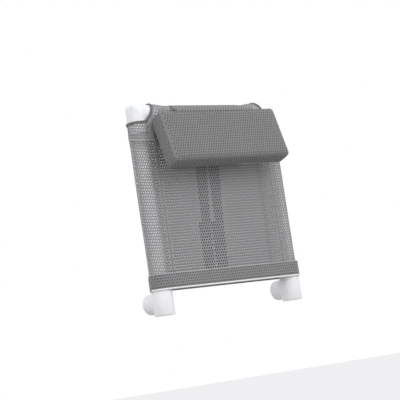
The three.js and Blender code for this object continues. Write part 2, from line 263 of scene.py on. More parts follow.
PVC = pvc()
SLING = coated_yarn("sling_mesh", grey(0.26), grey(0.34))
HEM = coated_yarn("hem_mesh", grey(0.20), grey(0.27))
# A much darker copy of the hem mesh for the closed bottoms of its blind holes: painted shade in the
# holes.
HEM_HOLE_SHADE = coated_yarn("hem_hole_painted_shade", grey(0.055), grey(0.09), 0.8)
COVER = coated_yarn("pillow_mesh", grey(0.172), grey(0.235), 0.65)
# A much darker copy of the pillow cover mesh for the closed bottoms of its blind holes: painted
# shade in the holes.
COVER_HOLE_SHADE = coated_yarn("pillow_mesh_under", grey(0.085), grey(0.12), 0.9)
FOLD = coated_yarn("hem_fold", grey(0.42), grey(0.52), 0.5)
BINDING = webbing("binding_tape", grey(0.12), grey(0.20), pitch=0.9)
STRAP = webbing("strap_mesh", grey(0.035), grey(0.07), pitch=1.4)
HOOKS = cellular("hook_and_loop", 900.0, 0.06, 0.02, 0.7, 0.4, 0.8)
FOAM = cellular("foam", 700.0, 0.06, 0.11, 0.8, 0.0, 0.7)
PIPING = speckled("white_piping", 0.45, 300.0, 0.80, 0.88, 700.0, 0.3, 0.0002)
THREAD = speckled("thread_grey", 0.6, 3000.0, 0.176, 0.22, 4000.0, 0.4, 0.0001)
ZIPPER = webbing("zipper_tape", grey(0.03), grey(0.06), pitch=0.8)
METAL = speckled("zipper_metal", 0.35, 500.0, 0.22, 0.30, 1500.0, 0.2, 0.0001, 0.8)


# Pieces.
def smooth_step(value, start, end):
    t = np.clip((value - start) / (end - start), 0.0, 1.0)
    return t * t * (3 - 2 * t)


def post_radius(z, angle=0.0):
    """How far the sleeve lies from a post's axis: tight in front, slacker at the outer side."""
    above = smooth_step(z, RAIL_Z - 0.092, RAIL_Z - 0.048)
    below = smooth_step(z, HEM_Z + 0.046, HEM_Z + 0.006)
    outer = (24.2 + 1.2 * smooth_step(z, 0.12, 0.30)) * MM
    taut = ON_POST + (outer - ON_POST) * smooth_step(angle, 1.05, 2.2)
    taut = taut + (OVER_FITTING - taut) * smooth_step(angle, 2.3, math.pi)
    return taut + (OVER_FITTING - taut) * np.maximum(above, below)


def rail_radius(x):
    return ON_RAIL + (OVER_FITTING - ON_RAIL) * smooth_step(np.abs(x), 0.112, 0.150)


def front_depth(x, z):
    """How far the front of the sling stands in front of the posts' axes."""
    share = smooth_step(z, PANEL_TOP - 0.075, PANEL_TOP)
    return share * rail_radius(x) + (1 - share) * post_radius(z)


def piece(name, vertices, faces, materials, indices=None, smooth=True):
    mesh = bpy.data.meshes.new(name)
    mesh.from_pydata([tuple(v) for v in vertices], [], faces)
    for material in materials:
        mesh.materials.append(material)
    if indices is not None:
        mesh.polygons.foreach_set("material_index", indices)
    if smooth:
        mesh.polygons.foreach_set("use_smooth", [True] * len(mesh.polygons))
    mesh.validate()
    mesh.update()
    item = bpy.data.objects.new(name, mesh)
    bpy.context.scene.collection.objects.link(item)
    return item


def finished(item, body, slot, *nodes):
    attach(item, body)
    if nodes:
        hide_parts(*nodes)
    return item


class Lattice:
    """A sheet of open mesh with real thickness, laid on a surface given as a function of (u, v)."""

    def __init__(self, surface, width, height, thick, start=(0.0, 0.0),
                 cell=(CELL_WIDE, CELL_TALL), clip=None, phase=None, edge=0.003, margin=None,
                 closed=False, hole=(HOLE_WIDE, HOLE_TALL)):
        self.surface, self.thick, self.closed, self.hole = surface, thick, closed, hole
        self.u0, self.v0 = start
        self.columns = 2 * max(1, round(width / cell[0]))
        self.rows = max(1, round(height / cell[1]))
        self.du, self.dv = width / self.columns, height / self.rows
        self.clip = clip
        self.limits = (self.u0, self.u0 + width, self.v0, self.v0 + height)
        self.edge, self.margin = edge, edge if margin is None else margin
        if phase is not None:
            self.du, self.dv = cell[0] / 2, cell[1]
            self.u0 -= phase[0] * cell[0]
            self.v0 -= phase[1] * cell[1]
            self.columns = 2 * math.ceil(width / cell[0] + 1)
            self.rows = math.ceil(height / cell[1] + 2)
            self.clip = self.trim

    def trim(self, u, v):
        """Cuts a shifted grid back to the sheet's own edges."""
        left, right, low, high = self.limits
        outside = (u < left - 1e-9) | (u > right + 1e-9) | (v < low - 1e-9) | (v > high + 1e-9)
        return np.clip(u, left, right), np.clip(v, low, high), outside

    def build(self, name, materials):
        columns, rows = self.columns, self.rows
        grid_u, grid_v = np.meshgrid(
            self.u0 + np.arange(columns + 1) * self.du, self.v0 + np.arange(rows + 1) * self.dv
        )
        flat_u, flat_v = grid_u.ravel(), grid_v.ravel()
        clipped = np.zeros(len(flat_u), bool)
        if self.clip is not None:
            flat_u, flat_v, clipped = self.clip(flat_u, flat_v)

        def node(k, r):
            return r * (columns + 1) + k

        holes, solids = [], []
        low_u, high_u = self.limits[0] + self.margin, self.limits[1] - self.margin
        low_v, high_v = self.limits[2] + self.edge, self.limits[3] - self.edge
        half_wide, half_tall = self.hole[0] / 2, self.hole[1] / 2
        for r in range(rows):
            k = r % 2
            if k:
                solids += [(0, r), (columns - 1, r)]
            while k + 2 <= columns:
                ring = [node(k + i, r + j) for j in (0, 1) for i in (0, 1, 2)]
                if clipped[ring].all():
                    k += 2
                    continue
                middle_u = self.u0 + (k + 1) * self.du
                middle_v = self.v0 + (r + 0.5) * self.dv
                inside = (
                    low_u <= middle_u - half_wide
                    and middle_u + half_wide <= high_u
                    and low_v <= middle_v - half_tall
                    and middle_v + half_tall <= high_v
                    and not clipped[ring].any()
                )
                if inside:
                    holes.append((k, r, middle_u, middle_v))
                else:
                    solids += [(k, r), (k + 1, r)]
                k += 2

        count = len(flat_u)
        angles = np.radians(22.5 + 45 * np.arange(8))
        ring_u = np.array([h[2] for h in holes])[:, None] + half_wide * np.cos(angles)
        ring_v = np.array([h[3] for h in holes])[:, None] + half_tall * np.sin(angles)
        points, normals = self.surface(
            np.concatenate([flat_u, ring_u.ravel()]), np.concatenate([flat_v, ring_v.ravel()])
        )
        half = np.full(len(points), self.thick / 2)
        half[count:] = self.thick * 0.26
        under = half.copy()
        if self.closed:
            under[:count] = self.thick / 2
        front = points + normals * half[:, None]
        back = points - normals * under[:, None]
        total = len(points)
        vertices = np.concatenate([front, back])

        faces, indices = [], []
        for n, (k, r, _, _) in enumerate(holes):
            a, b, c = node(k, r), node(k + 1, r), node(k + 2, r)
            d, e, f = node(k, r + 1), node(k + 1, r + 1), node(k + 2, r + 1)
            i = [count + 8 * n + m for m in range(8)]
            web = [
                (i[7], c, f, i[0]), (i[0], f, e, i[1]), (i[1], e, i[2]), (i[2], e, d, i[3]),
                (i[3], d, a, i[4]), (i[4], a, b, i[5]), (i[5], b, i[6]), (i[6], b, c, i[7]),
            ]
            faces += web
            walls = [(i[m], i[(m + 1) % 8], i[(m + 1) % 8] + total, i[m] + total) for m in range(8)]
            faces += walls
            if self.closed:
                # The closed bottom of each hole takes the second material, a darker copy that
                # paints the shade in the hole.
                faces.append(tuple(p + total for p in i))
                faces += [(d + total, e + total, b + total, a + total)]
                faces += [(e + total, f + total, c + total, b + total)]
                indices += [0] * 16 + [1, 0, 0]
            else:
                faces += [tuple(p + total for p in reversed(w)) for w in web]
                indices += [0] * 24
        for k, r in solids:
            a, b, c, d = node(k, r), node(k + 1, r), node(k + 1, r + 1), node(k, r + 1)
            if clipped[[a, b, c, d]].all():
                continue
            faces += [(a, b, c, d), (d + total, c + total, b + total, a + total)]
            indices += [0, 0]

        edges = {}
        for face in faces:
            for p, q in zip(face, face[1:] + face[:1]):
                if p >= count or q >= count:
                    continue
                key = (min(p, q), max(p, q))
                edges[key] = None if key in edges else (p, q)
        for pair in edges.values():
            if pair is not None:
                p, q = pair
                faces.append((q, p, p + total, q + total))
                indices.append(0)

        item = piece(name, vertices, faces, materials, indices)
        shape = bmesh.new()
        shape.from_mesh(item.data)
        bmesh.ops.remove_doubles(shape, verts=shape.verts, dist=1e-6)
        bmesh.ops.dissolve_degenerate(shape, edges=shape.edges, dist=1e-6)
        loose = [v for v in shape.verts if not v.link_faces]
        bmesh.ops.delete(shape, geom=loose, context="VERTS")
        shape.to_mesh(item.data)
        shape.free()
        return item


def faced_outward(item):
    shape = bmesh.new()
    shape.from_mesh(item.data)
    bmesh.ops.recalc_face_normals(shape, faces=shape.faces)
    shape.to_mesh(item.data)
    shape.free()
    return item


def swept(name, path, section, materials, closed=False, normals=None, widths=None):
    """A solid whose section, in (out, along) pairs, follows a path with outward normals."""
    path = [Vector(p) for p in path]
    count = len(path)
    vertices, faces = [], []
    for n, point in enumerate(path):
        before = path[(n - 1) % count] if closed or n > 0 else point
        after = path[(n + 1) % count] if closed or n < count - 1 else point
        tangent = (after - before).normalized()
        normal = Vector(normals[n]).normalized()
        side = tangent.cross(normal).normalized()
        width = widths[n] if widths is not None else 1.0
        for out, along in section:
            vertices.append(point + normal * out + side * along * width)
    size = len(section)
    steps = count if closed else count - 1
    for n in range(steps):
        for m in range(size):
            a, b = n * size + m, n * size + (m + 1) % size
            c, d = ((n + 1) % count) * size + (m + 1) % size, ((n + 1) % count) * size + m
            faces.append((a, b, c, d))
    if not closed:
        faces.append(tuple(reversed(range(size))))
        faces.append(tuple((count - 1) * size + m for m in range(size)))
    return faced_outward(piece(name, vertices, faces, materials))


def oval(wide, thick, steps=10, base=0.0):
    """The section of a tape or cord, wide along the surface and thick out of it."""
    points = []
    for n in range(steps):
        angle = 2 * math.pi * n / steps
        power = 0.6 if wide > 2 * thick else 1.0
        cos, sin = math.cos(angle), math.sin(angle)
        along = math.copysign(abs(cos) ** power, cos) * wide / 2
        out = base + thick / 2 + math.copysign(abs(sin) ** power, sin) * thick / 2
        points.append((out, along))
    return points


STITCH_PITCH, STITCH_LENGTH = 3.2 * MM, 2.4 * MM


def bar_faces(base, rings):
    """The faces of a bar that runs through rings of four points, counted from the point base."""
    last = base + 4 * (rings - 1)
    sides = [(m + j, m + (j + 1) % 4, m + 4 + (j + 1) % 4, m + 4 + j)
             for m in range(base, last, 4) for j in range(4)]
    return sides + [(base + 3, base + 2, base + 1, base), (last, last + 1, last + 2, last + 3)]


def stitches(name, path, normals, out):
    """A row of thread stitches along a path on the surface."""
    path = [Vector(p) for p in path]
    lengths = [0.0]
    for a, b in zip(path, path[1:]):
        lengths.append(lengths[-1] + (b - a).length)
    count = int(lengths[-1] / STITCH_PITCH)
    vertices, faces = [], []
    for n in range(count):
        middle = (n + 0.5) * STITCH_PITCH
        ends = []
        for at in (middle - STITCH_LENGTH / 2, middle, middle + STITCH_LENGTH / 2):
            at = min(max(at, 0.0), lengths[-1])
            i = min(max(np.searchsorted(lengths, at) - 1, 0), len(path) - 2)
            t = (at - lengths[i]) / max(lengths[i + 1] - lengths[i], 1e-9)
            normal = Vector(normals[i]).lerp(Vector(normals[i + 1]), t).normalized()
            ends.append((path[i].lerp(path[i + 1], t), normal))
        tangent = (ends[2][0] - ends[0][0]).normalized()
        side = tangent.cross(ends[1][1]).normalized() * 0.3 * MM
        base = len(vertices)
        for (point, normal), lift, width in zip(ends, (0.0, 0.55 * MM, 0.0), (0.5, 1.0, 0.5)):
            low = point + normal * (out - 0.15 * MM)
            top = point + normal * (out + lift)
            vertices += [low - side * width, low + side * width, top + side * width * 0.5]
            vertices += [top - side * width * 0.5]
        faces += bar_faces(base, 3)
    return faced_outward(piece(name, vertices, faces, [THREAD]))


# PVC pipe and fittings keep their CAD shape, with softened edges.
def soften(node, width):
    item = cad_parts[node]
    item.data.materials.clear()
    item.data.materials.append(PVC)
    for polygon in item.data.polygons:
        polygon.use_smooth = True
    weld = item.modifiers.new("weld", "WELD")
    weld.merge_threshold = 0.00001
    edge = item.modifiers.new("edge", "BEVEL")
    edge.width = width
    edge.segments = 3
    edge.limit_method = "ANGLE"
    edge.angle_limit = math.radians(32)
    edge.harden_normals = True


for node in ("left_post_tube", "right_post_tube", "top_rail_tube"):
    soften(node, 0.0006)
for node in ("left_tee", "right_tee", "left_elbow", "right_elbow"):
    soften(node, 0.0011)


# Sling.
def flat(y, out):
    def surface(u, v):
        points = np.stack([u, np.full_like(u, y), v], 1)
        return points, np.tile([0.0, out, 0.0], (len(u), 1))

    return surface


def post_outline(side, lift=0.0):
    """The outline of a sleeve round a post, from its front seam to its back seam: u is along it."""
    straight = POST_X - SEAM_X
    turn = math.pi * OVER_FITTING

    def surface(u, v):
        s = np.asarray(u)
        share = smooth_step(s, straight, straight + turn)
        z = v + ((v - HEM_Z) * (BACK_STRETCH - 1) + BACK_LIFT) * share
        angle = np.clip((s - straight) / OVER_FITTING, 0, math.pi)
        out = lift(z) if callable(lift) else lift
        radius = post_radius(z, angle) + out
        x = np.where(s < straight, SEAM_X + s, POST_X + radius * np.sin(angle))
        x = np.where(s > straight + turn, POST_X - (s - straight - turn), x)
        front = np.clip(np.cos(angle), 0, 1) ** 2
        reach = radius + (front_depth(x, z) + out - radius) * front
        over = np.clip((z - RAIL_Z) / (OVER_FITTING + out), 0, 1)
        bend = np.sqrt(1 - over**2)
        y = -reach * np.cos(angle) * bend
        points = np.stack([side * x, y, z], 1)
        normals = np.stack([side * np.sin(angle), -np.cos(angle) * bend, over], 1)
        normals /= np.linalg.norm(normals, axis=1)[:, None]
        return points, normals

    def height(u, most):
        """The v at which the sleeve reaches the height most."""
        share = smooth_step(u, straight, straight + turn)
        return HEM_Z + (most - HEM_Z - BACK_LIFT * share) / (1 + (BACK_STRETCH - 1) * share)

    return surface, 2 * straight + turn, height


def cut_height(x, grow=0.0):
    """How high the fabric reaches under a corner cut-out, at a distance x from the middle."""
    across = np.clip((CUT_X - np.abs(x)) / (CUT_HALF_X + grow), 0, 1)
    along = CUT_TOP - (CUT_HALF_S + grow) * (1 - across**CUT_POWER) ** (1 / CUT_POWER)
    over = OVER_FITTING * np.sin(np.clip(along / OVER_FITTING, 0, math.pi / 2))
    return RAIL_Z + np.where(along > 0, over, along)


def cut_width(along):
    """How far the fabric reaches from the middle, at a distance along it past the rail's axis."""
    share = np.clip((CUT_TOP - along) / CUT_HALF_S, 0, 1)
    return CUT_X - CUT_HALF_X * (1 - share**CUT_POWER) ** (1 / CUT_POWER)


def cells(length, size):
    return length / round(length / size)


# The back of the sling has slightly larger cells than its front, shifted by part of a cell. Both
# values are fitted: they keep the holes of the two layers out of line as seen from the camera.
FRONT_CELL = (cells(2 * SEAM_X, CELL_WIDE), cells(PANEL_TOP - HEM_Z, CELL_TALL))
BACK_STRETCH = 1.0195
BACK_PHASE = (0.3, 0.08)
BACK_LIFT = (1 - BACK_PHASE[1]) * FRONT_CELL[1]
CUFF_ROWS = 2 * round((CUFF_Z - HEM_Z) / FRONT_CELL[1] / 2)


def sewn(name, node, surface, flat_size, thick=YARN, flip=False, slot="sling_mesh",
         materials=(SLING,), area=None, **cut):
    """A sheet of the sling, which is held stretched."""
    item = Lattice(surface, *flat_size, thick, **cut).build(name, list(materials))
    if flip:
        item.data.flip_normals()
    finished(item, "frame", slot, node)


def post_sleeve(side, word):
    """The sleeve round a post, from the hem to just inside the cuff."""
    surface, width, _ = post_outline(side)
    row = FRONT_CELL[1]
    tall = CUFF_ROWS * row + 2 * row
    sewn(f"{word}_sleeve_mesh", f"{word}_post_sleeve", surface, (width, tall), flip=side < 0,
         start=(0.0, HEM_Z), cell=(CELL_WIDE, row))


def sleeve_cuff(side, word):
    """The cuff below a corner cut-out: sewn over the sleeve's top, and a single layer above it."""
    row = FRONT_CELL[1]
    low = HEM_Z + CUFF_ROWS * row

    def lift(z):
        return (YARN + 0.1 * MM) * (1 - smooth_step(z, low + 0.016, low + 0.026))

    surface, width, height = post_outline(side, lift)
    tall = math.ceil((float(cut_height(SEAM_X)) - low) / row) * row

    def clip(u, v):
        points, _ = surface(u, np.full_like(u, low))
        most = height(u, cut_height(points[:, 0]))
        return u, np.minimum(v, most), v >= most

    across = np.linspace(0, width, 200)
    points, _ = surface(across, np.full(200, low))
    rise = np.clip(height(across, cut_height(points[:, 0])) - low, 0, tall)
    sewn(f"{word}_cuff_mesh", f"{word}_sleeve_cuff", surface, (width, tall), flip=side < 0,
         area=float(rise.mean()) * width, start=(0.0, low), clip=clip, edge=0.001,
         cell=(CELL_WIDE, row), margin=0.012)
    along = np.linspace(0.001, width - 0.001, 60)
    path, normals = surface(along, np.full(60, low))
    fold = swept(f"{word}_cuff_fold", path, oval(4.2 * MM, 1.0 * MM, 10, -0.4 * MM), [FOLD],
                 normals=normals)
    path, normals = surface(along, np.full(60, low + 1.2 * MM))
    stitch = stitches(f"{word}_cuff_stitching", path, normals, out=0.5 * MM)
    for extra in (stitch, fold):
        finished(extra, "frame", "sling_mesh")


def front_panel():
    def surface(u, v):
        points = np.stack([u, -front_depth(u, v), v], 1)
        return points, np.tile([0.0, -1.0, 0.0], (len(u), 1))

    tall = PANEL_TOP - HEM_Z
    sewn("front_panel_mesh", "sling_front_panel", surface, (2 * SEAM_X, tall),
         start=(-SEAM_X, HEM_Z))


def back_panel():
    tall = BACK_TOP - HEM_Z
    cell = (FRONT_CELL[0] * BACK_STRETCH, FRONT_CELL[1] * BACK_STRETCH)
    sewn("back_panel_mesh", "sling_back_panel", flat(OVER_FITTING, 1.0), (2 * SEAM_X, tall),
         flip=True, start=(-SEAM_X, HEM_Z), cell=cell, phase=BACK_PHASE)
    across = np.linspace(-SEAM_X, SEAM_X, 40)
    path = [(x, OVER_FITTING, BACK_TOP - 0.0045) for x in across]
    out = [(0, 1, 0)] * len(path)
    tape = swept("back_edge_tape", path, oval(9 * MM, 2.6 * MM, 14, -1.3 * MM), [BINDING],
                 normals=out)
    finished(tape, "frame", "binding_tape", "back_panel_edge_tape")
    for n, z in enumerate((BACK_TOP - 0.0075, BACK_TOP - 0.0015)):
        line = [(x, OVER_FITTING, z) for x in across]
        row = stitches(f"back_edge_stitching_{n}", line, out, out=1.2 * MM)
        finished(row, "frame", "binding_tape")


def rail_sleeve():
    """The tunnel round the rail: v runs from its front seam up, over, down and back under it."""
    straight = RAIL_Z - PANEL_TOP
    turn = 1.5 * math.pi * OVER_FITTING
    tail = 0.020

    def surface(u, v):
        radius = rail_radius(u)
        angle = np.clip((v - straight) / OVER_FITTING, 0, 1.5 * math.pi)
        past = np.maximum(v - straight - turn, 0)
        y = np.where(v < straight, -radius, -radius * np.cos(angle)) - past
        z = np.where(v < straight, PANEL_TOP + v, RAIL_Z + radius * np.sin(angle))
        points = np.stack([u, y, z], 1)
        normals = np.stack([np.zeros_like(u), -np.cos(angle), np.sin(angle)], 1)
        return points, normals

    def clip(u, v):
        angle = np.minimum((v - straight) / OVER_FITTING, math.pi - (v - straight) / OVER_FITTING)
        along = np.where(v < straight, v - straight, OVER_FITTING * angle)
        most = np.minimum(cut_width(along), SEAM_X)
        return np.clip(u, -most, most), v, np.abs(u) >= most + 1e-6

    tall = straight + turn + tail
    sewn("rail_sleeve_mesh", "sling_rail_sleeve", surface, (2 * SEAM_X, tall),
         start=(-SEAM_X, 0.0), clip=clip)


def corner_binding(side, word):
    """Tape folded over the edge of a corner cut-out, which runs right round the elbow."""
    grow = BINDING_WIDE / 2 - 0.4 * MM
    base = LAYER_R
    path, normals = [], []
    for n in range(46):
        turned = math.pi / 2 * n / 45
        x = CUT_X - (CUT_HALF_X + grow) * math.cos(turned) ** (2 / CUT_POWER)
        along = CUT_TOP - (CUT_HALF_S + grow) * math.sin(turned) ** (2 / CUT_POWER)
        if x > POST_X:
            break
        angle = max(along, 0.0) / OVER_FITTING
        z = RAIL_Z + (base * math.sin(angle) if along > 0 else along)
        path.append(Vector((side * x, -base * math.cos(angle), z)))
        normals.append(Vector((0, -math.cos(angle), math.sin(angle))))
    half = list(zip(path, normals))
    level = float(cut_height(CUT_X, grow))
    for n in range(1, 24):
        angle = math.pi * n / 24
        x = POST_X + base * math.sin(angle)
        path.append(Vector((side * x, -base * math.cos(angle), level)))
        normals.append(Vector((side * math.sin(angle), -math.cos(angle), 0)))
    for p, normal in reversed(half):
        if p.y < -1e-6:
            path.append(Vector((p.x, -p.y, p.z)))
            normals.append(Vector((0, -normal.y, normal.z)))
    tape = swept(f"{word}_corner_tape", path, oval(BINDING_WIDE, 1.7 * MM, 14), [BINDING],
                 closed=True, normals=normals)
    finished(tape, "frame", "binding_tape", f"{word}_corner_binding")
    line = []
    for i, p in enumerate(path):
        before, after = path[i - 1], path[(i + 1) % len(path)]
        sideways = (after - before).normalized().cross(normals[i].normalized())
        line.append(p + sideways * 1.3 * MM)
    row = stitches(f"{word}_corner_stitching", line, normals, out=1.6 * MM)
    finished(row, "frame", "binding_tape")


def loop_path(radius, steps=20):
    """Points and normals right round both posts, clockwise from the middle of the front."""
    points, normals = [], []
    for side in (1, -1):
        for n in range(steps + 1):
            angle = math.pi * n / steps
            if side > 0:
                x, y = math.sin(angle), -math.cos(angle)
            else:
                x, y = -math.sin(angle), math.cos(angle)
            points.append((side * POST_X + radius * x, radius * y))
            normals.append((x, y, 0.0))
    return points, normals


def hem():
    """The hem: mesh turned up twice, so its holes are blind, with fold, stitches and piping."""
    radius = LAYER_R + 0.6 * MM
    half_turn = math.pi * radius / 2
    width = 2 * POST_X + 2 * half_turn

    def band(out):
        """The band on one side of the posts, between the seams beside them."""

        def surface(u, v):
            s = u + width / 2
            angle = np.where(s < half_turn, (half_turn - s) / radius, 0.0)
            angle = np.where(s > width - half_turn, (s - width + half_turn) / radius, angle)
            left = s < half_turn
            right = s > width - half_turn
            x = np.where(left, -POST_X - radius * np.sin(angle), u)
            x = np.where(right, POST_X + radius * np.sin(angle), x)
            y = out * radius * np.cos(angle)
            normal_x = np.where(left, -np.sin(angle), np.where(right, np.sin(angle), 0.0))
            points = np.stack([x, y, v], 1)
            normals = np.stack([normal_x, out * np.cos(angle), np.zeros_like(u)], 1)
            return points, normals

        return surface

    for word, out in (("front", -1.0), ("back", 1.0)):
        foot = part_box(f"hem_{word}_band")[0].z
        # The second material paints shade into the bottoms of the hem's blind holes.
        sewn(f"hem_{word}_mesh", f"hem_{word}_band", band(out), (width, HEM_TALL), 1.2 * MM,
             out > 0, "binding_tape", (HEM, HEM_HOLE_SHADE), start=(-width / 2, foot), closed=True,
             edge=0.0005, hole=(3.3 * MM, 4.2 * MM))
    outline, normals = loop_path(LAYER_R)
    for word, z, out in (("upper", HEM_Z + HEM_TALL - 2.5 * MM, 1.2 * MM),
                         ("lower", HEM_Z + 3.5 * MM, 1.2 * MM)):
        path = [(x, y, z) for x, y in outline]
        row = stitches(f"hem_{word}_stitching", path + path[:1], normals + normals[:1], out=out)
        finished(row, "frame", "binding_tape")
    path = [(x, y, HEM_Z + HEM_TALL) for x, y in outline]
    fold = swept("hem_upper_fold", path, oval(2.0 * MM, 1.5 * MM, 8), [FOLD], True, normals)
    finished(fold, "frame", "sling_mesh")
    around, normals = loop_path(0.0275)
    front = [n for n, (_, y) in enumerate(around) if y < 0.0005]
    front.sort(key=lambda n: (around[n][0], -around[n][1] if around[n][0] < 0 else around[n][1]))
    path = [(around[n][0], around[n][1], 0.060) for n in front]
    normals = [normals[n] for n in front]
    cord = swept("hem_piping_cord", path, oval(4.2 * MM, 4.2 * MM, 14, -2.1 * MM), [PIPING],
                 normals=normals)
    finished(cord, "frame", "white_piping", "hem_piping")


def seams():
    """Felled seams along the inner sides of the posts and under the rail."""
    for word, side in (("left", -1), ("right", 1)):
        for face, out in (("front", -1.0), ("back", 1.0)):
            top = PANEL_TOP + 0.012 if out < 0 else BACK_TOP
            heights = np.linspace(HEM_Z + HEM_TALL, top, 50)
            depth = front_depth(SEAM_X, heights) if out < 0 else np.full(50, OVER_FITTING)
            path = [(side * SEAM_X, out * (d + YARN / 2), z) for d, z in zip(depth, heights)]
            normals = [(0, out, 0)] * len(path)
            ridge = swept(f"{word}_{face}_seam", path, oval(3.4 * MM, 0.9 * MM, 10, -0.1 * MM),
                          [HEM], normals=normals)
            row = stitches(f"{word}_{face}_seam_stitching", path, normals, out=0.75 * MM)
            for item in (ridge, row):
                finished(item, "frame", "sling_mesh")
    across = np.linspace(-SEAM_X, SEAM_X, 60)
    path = [(x, -(d + YARN / 2), PANEL_TOP) for x, d in zip(across, rail_radius(across))]
    ridge = swept("rail_front_seam", path, oval(3.4 * MM, 0.9 * MM, 10, -0.1 * MM), [HEM],
                  normals=[(0, -1, 0)] * len(path))
    finished(ridge, "frame", "sling_mesh")


for side, word in ((-1, "left"), (1, "right")):
    post_sleeve(side, word)
    sleeve_cuff(side, word)
    corner_binding(side, word)
front_panel()
back_panel()
rail_sleeve()
hem()
seams()


# Pillow.
def rounded_box(name, wide, deep, tall, radius):
    shape = bmesh.new()
    bmesh.ops.create_cube(shape, size=1.0)
    for vertex in shape.verts:
        vertex.co = Vector((vertex.co.x * wide, vertex.co.y * deep, vertex.co.z * tall))
    bmesh.ops.bevel(shape, geom=list(shape.edges), offset=radius, segments=4, profile=0.5,
                    affect="EDGES")
    mesh = bpy.data.meshes.new(name)
    shape.to_mesh(mesh)
    shape.free()
    item = bpy.data.objects.new(name, mesh)
    bpy.context.scene.collection.objects.link(item)
    return item


def applied(item):
    graph = bpy.context.evaluated_depsgraph_get()
    mesh = bpy.data.meshes.new_from_object(item.evaluated_get(graph))
    old = item.data
    item.modifiers.clear()
    item.data = mesh
    bpy.data.meshes.remove(old)
    return item


def pillow_body():
    """The foam inside its tight cover, swelled by a short cloth simulation, its travel capped."""
    body = rounded_box("pillow_foam", PILLOW_WIDE - 2 * PILLOW_SHRINK,
                       PILLOW_DEEP - 2 * PILLOW_SHRINK, PILLOW_TALL - 2 * PILLOW_SHRINK,
                        PILLOW_ROUND - 1.5 * MM)
    remesh = body.modifiers.new("remesh", "REMESH")
    remesh.mode = "VOXEL"
    remesh.voxel_size = 5 * MM
    applied(body)
    rest = np.array([v.co for v in body.data.vertices])
    cloth = body.modifiers.new("cloth", "CLOTH")
    settings = cloth.settings
    settings.use_pressure = True
    settings.uniform_pressure_force = 4.0
    settings.effector_weights.gravity = 0.0
    settings.quality = 5
    settings.tension_stiffness = 40
    settings.compression_stiffness = 40
    settings.bending_stiffness = 6
    scene = bpy.context.scene
    for number in range(1, SWELL_FRAMES + 1):
        scene.frame_set(number)
    applied(body)
    scene.frame_set(1)
    moved = np.array([v.co for v in body.data.vertices])
    if len(moved) == len(rest):
        travel = moved - rest
        length = np.linalg.norm(travel, axis=1)
        travel *= (np.minimum(length, SWELL_CAP) / np.maximum(length, 1e-9))[:, None]
        moved = rest + travel
        body.data.vertices.foreach_set("co", moved.ravel())
    divide = body.modifiers.new("divide", "SUBSURF")
    divide.levels = divide.render_levels = 1
    applied(body)
    body.data.polygons.foreach_set("use_smooth", [True] * len(body.data.polygons))
    body.data.materials.append(FOAM)
    return body


foam_body = pillow_body()
foam_tree = BVHTree.FromPolygons(
    [v.co.copy() for v in foam_body.data.vertices],
    [tuple(p.vertices) for p in foam_body.data.polygons],
)


def on_foam(points, normals, lift):
    """Moves points on the pillow's nominal faces onto the foam, measured along their normals."""
    out = np.array(points, float)
    for n in range(len(out)):
        direction = Vector(normals[n])
        start = Vector(points[n]) - direction * 0.012
        hit, _, _, _ = foam_tree.ray_cast(start, direction, 0.03)
        if hit is not None:
            out[n] = hit + direction * lift
    return out


def pillow_profile(v):
    """A point and normal on the rounded outline of the pillow's section, by distance along it."""
    flats = [PILLOW_TALL - 2 * PILLOW_ROUND, PILLOW_DEEP - 2 * PILLOW_ROUND]
    turn = math.pi / 2 * PILLOW_ROUND
    y, z, ny, nz = (np.zeros_like(v) for _ in range(4))
    legs = [
        ((-PILLOW_DEEP / 2, -flats[0] / 2), (0.0, 1.0), flats[0], (-1.0, 0.0)),
        ((-flats[1] / 2, PILLOW_TALL / 2), (1.0, 0.0), flats[1], (0.0, 1.0)),
        ((PILLOW_DEEP / 2, flats[0] / 2), (0.0, -1.0), flats[0], (1.0, 0.0)),
        ((flats[1] / 2, -PILLOW_TALL / 2), (-1.0, 0.0), flats[1], (0.0, -1.0)),
    ]
    at = 0.0
    for (y0, z0), (dy, dz), length, (my, mz) in legs:
        here = (v >= at) & (v <= at + length)
        s = v - at
        y, z = np.where(here, y0 + dy * s, y), np.where(here, z0 + dz * s, z)
        ny, nz = np.where(here, my, ny), np.where(here, mz, nz)
        at += length
        here = (v > at) & (v <= at + turn)
        angle = (v - at) / PILLOW_ROUND
        end_y, end_z = y0 + dy * length - my * PILLOW_ROUND, z0 + dz * length - mz * PILLOW_ROUND
        turned_y = my * np.cos(angle) + dy * np.sin(angle)
        turned_z = mz * np.cos(angle) + dz * np.sin(angle)
        y = np.where(here, end_y + PILLOW_ROUND * turned_y, y)
        z = np.where(here, end_z + PILLOW_ROUND * turned_z, z)
        ny, nz = np.where(here, turned_y, ny), np.where(here, turned_z, nz)
        at += turn
    return y, z, ny, nz


def wrap_surface(u, v):
    """The cover's long piece: v goes round the section, and u past each end's rounded edge."""
    y, z, ny, nz = pillow_profile(np.mod(v, AROUND - 1e-9))
    flat_half = PILLOW_WIDE / 2 - END_ROUND
    angle = np.clip((np.abs(u) - flat_half) / END_ROUND, 0, math.pi / 2)
    x = np.sign(u) * (np.minimum(np.abs(u), flat_half) + END_ROUND * np.sin(angle))
    inset = END_ROUND * (1 - np.cos(angle))
    points = np.stack([x, y - ny * inset, z - nz * inset], 1)
    normals = np.stack([np.sign(u) * np.sin(angle), ny * np.cos(angle), nz * np.cos(angle)], 1)
    normals /= np.linalg.norm(normals, axis=1)[:, None]
    return on_foam(points, normals, 0.8 * MM), normals


def end_surface(side):
    def surface(u, v):
        points = np.stack([np.full_like(u, side * PILLOW_WIDE / 2), u, v], 1)
        normals = np.tile([float(side), 0.0, 0.0], (len(u), 1))
        return on_foam(points, normals, 0.8 * MM), normals

    return surface


